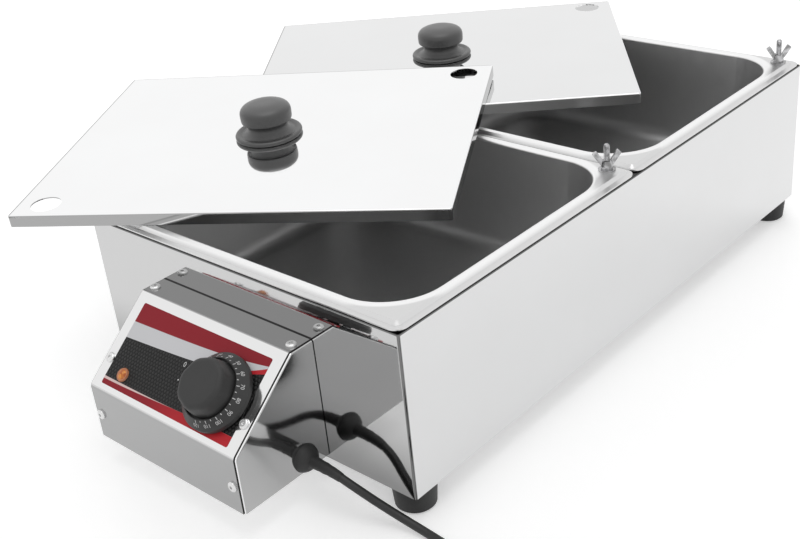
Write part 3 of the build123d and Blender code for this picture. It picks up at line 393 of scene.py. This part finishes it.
floor_white = start_material("floor_white")
white_floor = Shade.node("ShaderNodeBsdfDiffuse", inputs={"Color": grey(floor_level)})
lift = Shade.node("ShaderNodeEmission",
                  inputs={"Color": grey(1), "Strength": floor_lift * looked_at()})
show(Shade.node("ShaderNodeAddShader", inputs={0: white_floor, 1: lift}))
floor = add_alone(bpy.ops.mesh.primitive_plane_add, size=floor_size, location=(0, 0, 0))
floor.name = "floor"
dress(floor_white, floor)

bpy.context.scene.world = start(bpy.data.worlds.new("white_room"))
room_strength = room_level + (1 - room_level) * looked_at()
sky = Shade.node("ShaderNodeBackground", inputs={"Color": grey(1), "Strength": room_strength})
show(sky, "ShaderNodeOutputWorld")


def soft_light(name, stand, width, height, power):
    """A softbox: an area light of the given size and place, aimed at the melter."""
    data = bpy.data.lights.new(name, "AREA")
    data.shape = "RECTANGLE"
    data.size = width
    data.size_y = height
    data.energy = power
    lamp = in_scene(name, data)
    lamp.location = stand
    aim = melter_middle - Vector(stand)
    lamp.rotation_euler = aim.to_track_quat("-Z", "Y").to_euler()
    lamp.visible_camera = False
    return lamp


back_softbox = soft_light("back_softbox", (-1.75, 1.75, 1.5), width=3.0, height=2.0, power=24)
back_softbox.visible_glossy = False
soft_light("top_softbox", (0.3, -0.3, 2.6), width=1.8, height=1.8, power=12)

# Housing: one folded shell of bright stainless sheet with a bar across it, buffed almost to a
# mirror, with faint buffing lines, slow waves and finger smudges. The lids and the control box
# are of the same sheet.
line_relief = 0.004 * mm
wave_relief = 0.6 * mm
line_haze = 0.04
smudge_haze = 0.04
underside_haze = 0.4
lines_along_y = (1, 0.05, 1)
edge_blur = 0.1 * mm
front_low = 20 * mm
front_high = 90 * mm
gasket_edge = 154.5 * mm
# Painted shade: black painted shadow in the gaps, grey on the bends, and the front panel's painted
# reflection, darker low down.
painted_gap_shadow = grey(0.03)
bend_painted_shade = grey(0.18)
front_low_painted_reflection = grey(0.32)
front_high_painted_reflection = grey(0.57)


def axis(letter, vector=None):
    """One part of a vector of the surface: the piece's own place, if no other is given."""
    return Shade.node("ShaderNodeSeparateXYZ", inputs={0: vector or place()}, output=letter)


def facing(letter):
    """One part of the surface's normal."""
    return axis(letter, Shade.node("ShaderNodeNewGeometry", output="Normal"))


def flatness():
    """1 where the surface lies flat, 0 where it stands upright."""
    return abs(facing("Z"))


def polished(name, level, along, haze, retone):
    """Buffed stainless sheet whose fine lines run along one axis. Retone is a function that
    paints light and shade into its colour: painted reflections, highlights and shadows."""
    finish = start_material(name)
    lines = noise(260, 5, along)
    smudge = noise(9, 4)
    waves = noise(6, 1)
    bright = (level * 1.02, level * 1.025, level * 1.03, 1)
    tone = retone(mix(smudge, grey(level * 0.97), bright))
    under = 1 - facing("Z").step(-0.9, -0.5)
    smudged = smudge.step(0.5, 0.75)
    dullness = haze + line_haze * lines + smudge_haze * smudged + underside_haze * under
    finish_material(base_color=tone, metallic=1.0, roughness=dullness,
                    normal=bump(lines, line_relief, bump(waves, wave_relief)))
    return finish


def housing_tone(tone):
    """Painted reflection on the front panel, darker low down, painted shade along the bends, and
    black painted shadow on the upper fold, in the gap under the gasket and the pan rims."""
    front = 1 - facing("Y").step(-0.9, -0.8)
    height = axis("Z").step(front_low, front_high)
    front_tone = mix(height, front_low_painted_reflection, front_high_painted_reflection)
    tone = mix(front, tone, front_tone)
    widest = Shade.math("MAXIMUM", abs(facing("X")), abs(facing("Y")))
    bend = 1 - Shade.math("MAXIMUM", widest, flatness()).step(0.97, 0.997)
    tone = mix(bend, tone, bend_painted_shade)
    return mix(axis("Z").step(gasket_edge, gasket_edge + 2 * edge_blur), tone, painted_gap_shadow)


housing_steel = polished("housing_steel", level=0.70, along=lines_along_y, haze=0.02,
                         retone=housing_tone)
dress(housing_steel, "housing_shell", "cross_bar")

# Base plate, brackets and other hidden sheet: plain rolled steel, cut and bent, left dull as it
# comes from the mill.
plain_steel = mottled("plain_steel", grey(0.34), grey(0.46), grain=(120, 4, (1, 0.08, 1)),
                      roughness=0.32, spread=0.14, relief=0.02 * mm, metallic=1.0)
dress(plain_steel, "base_plate", "stud_plates", "front_heater_brackets",
      "rear_heater_brackets", "bulb_clips")

# Screws, washers, spacers and wing nuts: zinc-plated steel, bright and slightly blue. The
# nuts and their washers carry darker and lighter patches of painted reflection, and the
# control box's own screws are whiter.
zinc = mottled("zinc_plate", (0.50, 0.50, 0.51, 1), (0.66, 0.67, 0.68, 1), grain=(700, 4),
               roughness=0.16, spread=0.16, relief=0.02 * mm, metallic=1.0)
dress(zinc, "foot_screws", "base_screws", "box_mount_screws", "rim_spacers",
      "thermostat_screws", "terminal_screws", "front_knob_screw", "rear_knob_screw",
      "thermostat_shaft")
# Patches of painted reflection: dark and light blotches of noise stand in for mirrored
# surroundings.
zinc_with_painted_glints = mottled("zinc_with_painted_glints", grey(0.24), (0.56, 0.56, 0.57, 1), grain=(210, 2),
                    roughness=0.12, spread=0.16, relief=0.03 * mm, contrast=(0.3, 0.7),
                    metallic=1.0)
dress(zinc_with_painted_glints, "clamp_washers", "spring_washers", "front_wing_nut", "rear_wing_nut")
bright_screw = mottled("fastener_bright", grey(0.64), grey(0.80), grain=(600, 3),
                       roughness=0.22, spread=0.1, metallic=1.0)
dress(bright_screw, "cover_screws")

# Clamp studs: M5 studs with a rolled thread, headed below the rim and rounded at the tip, of
# zinc-plated steel. The solids leave the thread out, so the studs are made again with it.
stud_places = [Vector((147.0, -12.4, 0)) * mm, Vector((152.0, 271.0, 0)) * mm]
stud_head_under = 148.5 * mm
stud_head_top = 152.0 * mm
stud_top = 181.5 * mm
stud_tip_height = 1.6 * mm
tip_rounding = 0.9 * mm
hex_radius = 4.6 * mm
hex_chamfer = 0.3 * mm
thread_pitch = 0.8 * mm
thread_crest = 2.5 * mm
thread_root = 2.02 * mm
thread_steps = 24
tip_spare = 0.1 * mm
same_point = 0.01 * mm


def begin(name, add, **settings):
    """A primitive added alone, selected all over and open in edit mode."""
    piece = add_alone(add, **settings)
    piece.name = name
    bpy.ops.object.mode_set(mode="EDIT")
    return piece


def end(piece, smooth=35):
    """Edit mode closed, the piece's place put into its mesh, and its soft edges shaded soft."""
    bpy.ops.object.mode_set(mode="OBJECT")
    bpy.ops.object.select_all(action="DESELECT")
    piece.select_set(True)
    bpy.context.view_layer.objects.active = piece
    bpy.ops.object.transform_apply(location=True, rotation=True, scale=True)
    bpy.ops.object.shade_smooth_by_angle(angle=radians(smooth))


def one_piece(name, pieces):
    """Several pieces joined into the first of them."""
    bpy.ops.object.select_all(action="DESELECT")
    for piece in pieces:
        piece.select_set(True)
    bpy.context.view_layer.objects.active = pieces[0]
    bpy.ops.object.join()
    pieces[0].name = name
    return pieces[0]


thread_length = stud_top - stud_tip_height - stud_head_top
thread = begin("stud_thread", bpy.ops.mesh.primitive_plane_add, size=mm)
bpy.ops.mesh.merge(type="CENTER")
bpy.ops.transform.translate(value=(thread_root, 0, stud_head_top))
half_tooth = Vector((thread_crest - thread_root, 0, thread_pitch / 2))
bpy.ops.mesh.extrude_vertices_move(TRANSFORM_OT_translate={"value": half_tooth})
half_tooth.x *= -1
bpy.ops.mesh.extrude_vertices_move(TRANSFORM_OT_translate={"value": half_tooth})
bpy.ops.object.mode_set(mode="OBJECT")
winding = thread.modifiers.new("winding", "SCREW")
winding.angle = 2 * pi
winding.screw_offset = thread_pitch
winding.iterations = round(thread_length / thread_pitch)
winding.steps = thread_steps
winding.render_steps = thread_steps
bpy.ops.object.modifier_apply(modifier="winding")
bpy.ops.object.mode_set(mode="EDIT")
bpy.ops.mesh.select_all(action="SELECT")
bpy.ops.mesh.remove_doubles(threshold=same_point)
bpy.ops.mesh.fill_holes(sides=0)
bpy.ops.mesh.select_all(action="SELECT")
bpy.ops.mesh.normals_make_consistent(inside=False)
end(thread, 20)

stud_head = begin("stud_head", bpy.ops.mesh.primitive_cylinder_add, vertices=6, radius=hex_radius,
                  depth=stud_head_top - stud_head_under,
                  location=(0, 0, (stud_head_top + stud_head_under) / 2))
bpy.ops.mesh.bevel(offset=hex_chamfer, segments=2, affect="EDGES")
end(stud_head, 20)
tip_depth = 2 * stud_tip_height
stud_tip = begin("stud_tip", bpy.ops.mesh.primitive_cylinder_add, vertices=32,
                 radius=thread_root + tip_spare, depth=tip_depth,
                 location=(0, 0, stud_top - tip_depth / 2))
bpy.ops.mesh.bevel(offset=tip_rounding, segments=4, affect="EDGES")
end(stud_tip)
stud = one_piece("stud", [thread, stud_head, stud_tip])
other_stud = in_scene("other_stud", stud.data.copy())
for piece, stand in zip((stud, other_stud), stud_places):
    piece.data.transform(Matrix.Translation(stand))
studs = one_piece("threaded_studs", [stud, other_stud])
dress(zinc_with_painted_glints, studs)
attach(studs, "melter")
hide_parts("clamp_studs")

# Pans: deep-drawn stainless. The wells keep the dull, darker skin of drawing, and the rims
# are buffed bright.
well_half_x = 108.75 * mm
well_half_y = 85.5 * mm
well_middle = 142.0 * mm
well_corner = 45.0 * mm
well_top = 157.2 * mm
rim_top = 159.0 * mm
wall_bend = (0.5 * mm, 1.5 * mm)
rim_painted_band_edge = (6 * mm, 9 * mm)
drawing_relief = 0.012 * mm
pan_skin = start_material("pan_steel")
past_x = Shade.math("MAXIMUM", abs(axis("X")) - well_half_x, 0)
past_y = Shade.math("MAXIMUM", abs(abs(axis("Y")) - well_middle) - well_half_y, 0)
past_wall = (past_x * past_x + past_y * past_y) ** 0.5 - well_corner
in_well = (1 - axis("Z").step(well_top, rim_top)) * (1 - past_wall.step(*wall_bend))
drawn = noise(420, 5, (1, 1, 0.12))
cloud = noise(14, 3)
drawn_tone = mix(cloud, grey(0.56), grey(0.64))
# Painted highlight and shade on the rim: bright by the well, greyer beyond a band 6 to 9 mm out.
rim_painted_highlight = mix(past_wall.step(*rim_painted_band_edge), grey(0.90), grey(0.68))
finish_material(base_color=mix(in_well, rim_painted_highlight, drawn_tone), metallic=1.0,
                roughness=0.28 + in_well * (0.08 + 0.12 * drawn) + 0.04 * drawn,
                normal=bump(drawn, drawing_relief))
dress(pan_skin, "front_pan", "rear_pan")

# Lids: folded trays of the same bright sheet, open at the corners below the fold. Painted
# shade darkens the far bends and a band along the top's far and left edges, and the skirts
# carry a darker painted reflection.
half_length = 180.2 * mm
half_depth = 143.4 * mm
painted_band_width = 1.9 * mm
painted_band_soft = 0.3 * mm
edge_band_painted_shade = grey(0.34)
far_bend_painted_shade = grey(0.16)
lines_along_x = (0.06, 1, 1)


def lid_tone(skirt_painted_level, middle_x, middle_y, heading):
    """Painted light and shade for a lid that lies at a place and heading: its upright skirt is
    painted darker than its flat top, as painted reflection, and its bends on the far sides
    and a band along the top's far and left edges get painted shade."""
    def retone(tone):
        flat = flatness()
        tone = mix(flat.step(0.5, 0.9), grey(skirt_painted_level), tone)
        bend = flat.step(0.15, 0.3) * (1 - flat.step(0.98, 0.999))
        far = (facing("Y") - facing("X")).step(0.05, 0.25)
        tone = mix(bend * far, tone, far_bend_painted_shade)
        x = axis("X") - middle_x
        y = axis("Y") - middle_y
        along = x * cos(heading) + y * sin(heading)
        across = y * cos(heading) - x * sin(heading)
        past = Shade.math("MAXIMUM", across - half_depth, -1 * along - half_length)
        painted_band = past.step(-painted_band_width, painted_band_soft - painted_band_width) * flat.step(0.8, 0.9)
        return mix(painted_band, tone, edge_band_painted_shade)
    return retone


# The front and rear lids are one sheet: their levels and skirt levels are set apart as painted
# light and shade.
front_tone = lid_tone(skirt_painted_level=0.38, middle_x=-125.9 * mm, middle_y=-122.6 * mm,
                      heading=radians(31.5))
front_steel = polished("front_lid_steel", level=0.93, along=lines_along_x, haze=0.02,
                       retone=front_tone)
dress(front_steel, "front_lid")
rear_tone = lid_tone(skirt_painted_level=0.80, middle_x=-134.4 * mm, middle_y=121.7 * mm,
                     heading=radians(38.6))
rear_steel = polished("rear_lid_steel", level=0.80, along=lines_along_x, haze=0.02,
                      retone=rear_tone)
dress(rear_steel, "rear_lid")

# Knobs: turned from black plastic with a soft satin skin, each held from below by a screw. The
# top is painted paler than the sides, as painted light.
top_painted_light = grey(0.042)
knob_relief = 0.03 * mm
knob_black = start_material("knob_plastic")
grain = noise(800, 3)
side_tone = mix(noise(40, 2), grey(0.006), grey(0.011))
knob_tone = mix(facing("Z").step(0.3, 0.95), side_tone, top_painted_light)
finish_material(base_color=knob_tone, roughness=0.46 + 0.12 * grain, specular_ior_level=0.8,
                coat_weight=0.6, coat_roughness=0.35, normal=bump(grain, knob_relief))
dress(knob_black, "front_lid_knob", "rear_lid_knob")

# Control box: a bent tray and a wrapped cover of bright sheet, screwed against the housing. A
# black painted shadow runs along the housing and along the cover's cut edges.
cover_edge = 81.6 * mm
tray_face = 83.1 * mm
joint_front = -287.4 * mm
joint_front_top = -287.9 * mm
tray_low = 22 * mm
tray_high = 70 * mm
# Painted light and shade on the box's faces: a highlight on the slope and on the tray's fold,
# shade on the cover's top, lighter low on the tray.
slope_painted_highlight = grey(0.80)
top_painted_shade = grey(0.37)
tray_low_painted_light = grey(0.47)
tray_fold_painted_highlight = grey(0.88)


def painted_joint_shadow(tone, joint):
    """Black painted shadow where the sheet meets the housing."""
    return mix(axis("Y").step(joint, joint + edge_blur), tone, painted_gap_shadow)


def cover_tone(tone):
    """Painted shade on top, a painted highlight on the slope, and black painted shadow at the
    cut edges and at the housing.
    """
    flat = flatness()
    tone = mix(flat.step(0.2, 0.6), tone, slope_painted_highlight)
    tone = mix(flat.step(0.85, 0.97), tone, top_painted_shade)
    tone = mix(abs(axis("X")).step(cover_edge - edge_blur, cover_edge), tone, painted_gap_shadow)
    return painted_joint_shadow(tone, joint_front_top)


def tray_tone(tone):
    """Painted light low down, a painted highlight on the fold that shows beside the cover's cut
    edge, and black painted shadow at the housing.
    """
    tone = mix(axis("Z").step(tray_low, tray_high), tray_low_painted_light, tone)
    tone = mix(abs(axis("X")).step(tray_face - edge_blur, tray_face), tray_fold_painted_highlight, tone)
    return painted_joint_shadow(tone, joint_front)


# The box's sheet is set far darker than the housing's, though it is the same sheet, as painted
# shade.
box_steel = polished("box_steel", level=0.45, along=lines_along_x, haze=0.03,
                     retone=tray_tone)
dress(box_steel, "control_tray")
cover_steel = polished("cover_steel", level=0.38, along=lines_along_x, haze=0.03,
                       retone=cover_tone)
dress(cover_steel, "control_cover")

# Inner pieces: heating elements in heat-stained sheaths, plastic blocks, and a brass bulb and
# capillary. They are screwed and clipped in place, and only the vents show them.
element_sheath = mottled("element_sheath", (0.10, 0.085, 0.07, 1), (0.22, 0.19, 0.16, 1),
                         grain=(55, 4), roughness=0.45, spread=0.2, relief=0.04 * mm,
                         metallic=0.8)
dress(element_sheath, "front_heater", "rear_heater")
black_plastic = moulded("black_plastic", 0.02, 0.03, clouds=(50, 2), grain=(900, 2),
                        roughness=0.4, spread=0.2, relief=0.04 * mm)
dress(black_plastic, "thermostat_body")
white_plastic = moulded("white_plastic", 0.68, 0.76, clouds=(50, 2), grain=(900, 2),
                        roughness=0.35, spread=0.2, relief=0.04 * mm)
dress(white_plastic, "terminal_block")
dress(brass, "sensor_bulb", "capillary")

# Control panel label: a film with red bands above and below, a pale strip that narrows to the
# right, and a black field of small raised cells. Its print is measured in millimetres, across
# from the middle and up the slope from the knee, where the box's front bends back.
panel_front_y = -0.37075
panel_knee = 0.0715
panel_cos = 0.7687
panel_sin = 0.6396
label_width = 143
print_blur = 0.12
cell_pitch = 3.1
row_pitch = 2.7
cell_heart = 0.55
cell_rim = 1.45
cell_relief = 0.35 * mm
red = (0.29, 0.010, 0.020, 1)
bright_red = (0.58, 0.022, 0.032, 1)
pale = (0.70, 0.70, 0.72, 1)
pinkish = (0.80, 0.62, 0.60, 1)

label_film = start_material("panel_film")
across = axis("X") * 1000
up = ((axis("Y") - panel_front_y) * panel_cos + (axis("Z") - panel_knee) * panel_sin) * 1000


def above(edge):
    """1 above an edge of the print, 0 below it."""
    return (up - edge).step(-print_blur, print_blur)


reach = (across + label_width / 2) / label_width
strip_line = 43.6 + 8.2 * reach
band_edge = 57.0 + 5.2 * reach + 4.6 * reach ** 4
field_edge = strip_line + 13.2 * reach ** 5
wedge_edge = strip_line + 9.0 * reach ** 5
foot_edge = 9.0 + 4.0 * reach.step(0.0, 0.9)
white_edge = foot_edge + 2.0 * (1 - reach.step(0.0, 0.62))
row = Shade.math("FLOOR", up / row_pitch)
odd = Shade.math("FLOORED_MODULO", row, 2)
cell_x = Shade.math("FLOORED_MODULO", across + odd * (cell_pitch / 2), cell_pitch)
cell_y = Shade.math("FLOORED_MODULO", up, row_pitch)
off_x = cell_x - cell_pitch / 2
off_y = cell_y - row_pitch / 2
cell_way = (off_x * off_x + off_y * off_y) ** 0.5
cell = 1 - cell_way.step(cell_heart, cell_rim)
# The heart of each cell is painted a little lighter than the field, as a painted highlight on its
# dome.
field_with_painted_highlights = mix(cell, grey(0.004), grey(0.028))
lower = mix(reach.step(0.3, 0.75), red, bright_red)
colour = mix(above(foot_edge), lower, pinkish)
colour = mix(above(white_edge), colour, field_with_painted_highlights)
colour = mix(above(wedge_edge) * reach.step(0.82, 0.86), colour, bright_red)
colour = mix(above(field_edge), colour, pale)
colour = mix(above(band_edge), colour, red)
in_field = above(white_edge) * (1 - above(wedge_edge))
finish_material(base_color=colour, roughness=0.42 + 0.1 * noise(500, 2),
                specular_ior_level=0.25, normal=bump(cell * in_field, cell_relief))
dress(label_film, "panel_overlay")

# Printed marks: white numbers and ticks on the dial's skirt, with a zero and a dot on the
# label that they are set against. The print is a thin skin over the plastic.
panel_right = Vector((1, 0, 0))
panel_up = Vector((0, panel_cos, panel_sin))
panel_out = Vector((0, -panel_sin, panel_cos))
panel_foot = Vector((0, panel_front_y, panel_knee))
dial_across = 43.0
dial_height = 35.5
dial_middle = panel_foot + (panel_right * dial_across + panel_up * dial_height) * mm
scale_radius = 23.4 * mm
scale_lift = 12.5 * mm
scale_out = 0.667
scale_down = 0.745
print_lift = 0.04 * mm
first_turn = radians(-43.2)
number_turn = radians(21.8)
number_count = 11
first_number = 20
number_step = 10
number_size = 3.9 * mm
number_reach = 4.5 * mm
tick_start = 0.2 * mm
tick_width = 0.55 * mm
tick_corner = 0.12 * mm
long_length = 2.3 * mm
short_length = 1.3 * mm


def on_skirt(turn, reach):
    """A point of the skirt, by its turn from the top and its way down the slope."""
    radius = scale_radius + reach * scale_out
    lift = scale_lift - reach * scale_down + print_lift
    way = panel_up * cos(turn) + panel_right * sin(turn)
    return dial_middle + way * radius + panel_out * lift


def lay_on_skirt(piece, turn, reach):
    """Bend a flat mark round the skirt, its Y down the slope from the given reach."""
    for corner in piece.data.vertices:
        down = reach + corner.co.y
        corner.co = on_skirt(turn + corner.co.x / (scale_radius + down * scale_out), down)


def number(body, size):
    """A flat printed number, its middle at the origin."""
    figure = add_alone(bpy.ops.object.text_add, location=(0, 0, 0))
    figure.data.body = body
    figure.data.size = size
    figure.data.align_x = "CENTER"
    figure.data.align_y = "CENTER"
    bpy.ops.object.convert(target="MESH")
    return bpy.context.object


def tick(length):
    """A flat printed tick from the origin along Y."""
    mark = begin("tick", bpy.ops.mesh.primitive_plane_add, size=1)
    bpy.ops.transform.resize(value=(tick_width, length, 1))
    bpy.ops.transform.translate(value=(0, length / 2, 0))
    bpy.ops.mesh.bevel(offset=tick_corner, segments=2, affect="VERTICES")
    end(mark)
    return mark


marks = []
for step in range(number_count):
    turn = first_turn + number_turn * step
    figure = number(str(first_number + number_step * step), number_size)
    lay_on_skirt(figure, turn, number_reach)
    long_tick = tick(long_length)
    lay_on_skirt(long_tick, turn, tick_start)
    marks += [figure, long_tick]
    if step < number_count - 1:
        short_tick = tick(short_length)
        lay_on_skirt(short_tick, turn + number_turn / 2, tick_start)
        marks.append(short_tick)
dial_scale = one_piece("dial_scale", marks)
print_white = mottled("print_white", grey(0.62), grey(0.78), grain=(1300, 3),
                      roughness=0.45, spread=0.15)
dress(print_white, dial_scale)
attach(dial_scale, "dial")

label_lift = 0.43 * mm
zero_size = 5.4 * mm
zero_place = (-1.5, 43.6)
dot_radius = 0.6 * mm
dot_inset = 0.15 * mm
dot_place = (-0.25, 31.75)
zero = number("0", zero_size)
dot = begin("dot", bpy.ops.mesh.primitive_circle_add, vertices=20, radius=dot_radius,
            fill_type="NGON")
bpy.ops.mesh.inset(thickness=dot_inset)
end(dot)
for mark, (mark_across, mark_up) in ((zero, zero_place), (dot, dot_place)):
    for corner in mark.data.vertices:
        corner.co = (panel_foot + panel_right * (mark_across * mm + corner.co.x)
                     + panel_up * (mark_up * mm + corner.co.y) + panel_out * label_lift)
label_marks = one_piece("label_marks", [zero, dot])
dress(print_white, label_marks)
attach(label_marks, "melter")

# Dial: a round knob of dark satin plastic with an eight-sided grip and a sloping skirt, moulded
# in one and pressed on its shaft.
dial_plastic = moulded("dial_plastic", 0.034, 0.044, clouds=(60, 2), grain=(1500, 2),
                       roughness=0.42, spread=0.12, relief=0.04 * mm,
                       specular_ior_level=0.35)
dress(dial_plastic, "dial_knob")

# Pilot lamp: an amber lens of clear plastic, unlit, in a paler rim of the same plastic. The
# rim's body is pressed into the panel.
lens_amber = mottled("lens_amber", (0.52, 0.11, 0.012, 1), (0.90, 0.34, 0.05, 1),
                     grain=(330, 2), roughness=0.10, spread=0.1, relief=0.2 * mm,
                     contrast=(0.35, 0.65))
dress(lens_amber, "pilot_lens")
rim_amber = mottled("rim_amber", (0.42, 0.14, 0.06, 1), (0.62, 0.26, 0.13, 1),
                    grain=(400, 3), roughness=0.2, spread=0.1)
dress(rim_amber, "pilot_body")
